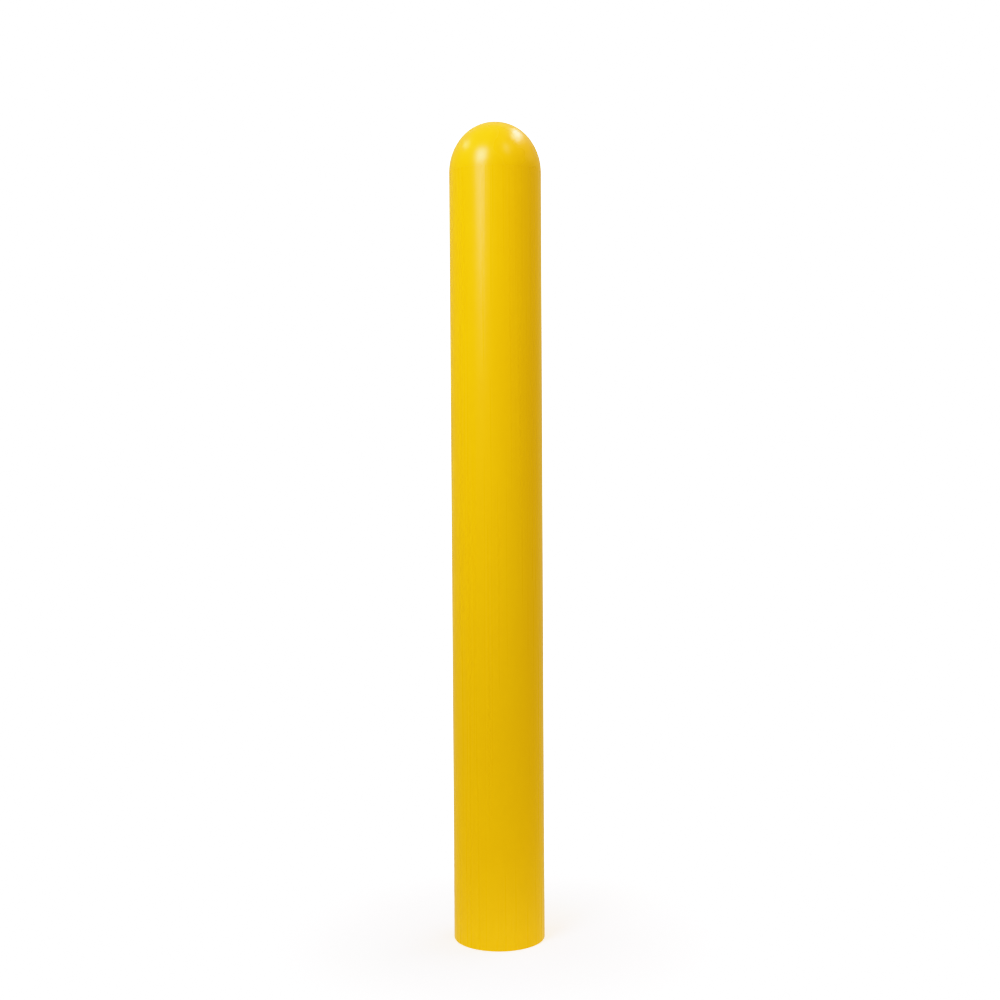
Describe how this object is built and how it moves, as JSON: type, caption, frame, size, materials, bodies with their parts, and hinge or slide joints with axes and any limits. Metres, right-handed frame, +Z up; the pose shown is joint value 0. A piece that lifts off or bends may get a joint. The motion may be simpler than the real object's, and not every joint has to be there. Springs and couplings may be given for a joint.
{
  "type": "bollard cover sleeve",
  "caption": "Smooth yellow plastic sleeve with a domed top and an open foot, lined with foam strips, that slides down over a round steel guard post.",
  "frame": {"origin": "centre of the open foot, on the ground that the cover stands on", "axes": "+Z up along the cover's axis, towards the dome; +X and -Y towards foam strips"},
  "size_m": [0.1366, 0.1366, 1.2193],
  "materials": {
    "tube_polyethylene": "extruded polyethylene, semi-gloss, faint draw lines along its length",
    "dome_polyethylene": "moulded polyethylene, glossy",
    "foam_tape": "closed-cell foam, matt, finely pored"
  },
  "bodies": {
    "root": {"sleeve_tube": "tube_polyethylene", "dome_cap": "dome_polyethylene", "foam_strip_upper_1": "foam_tape", "foam_strip_upper_2": "foam_tape", "foam_strip_upper_3": "foam_tape", "foam_strip_upper_4": "foam_tape", "foam_strip_lower_1": "foam_tape", "foam_strip_lower_2": "foam_tape", "foam_strip_lower_3": "foam_tape", "foam_strip_lower_4": "foam_tape"}
  },
  "joints": []
}
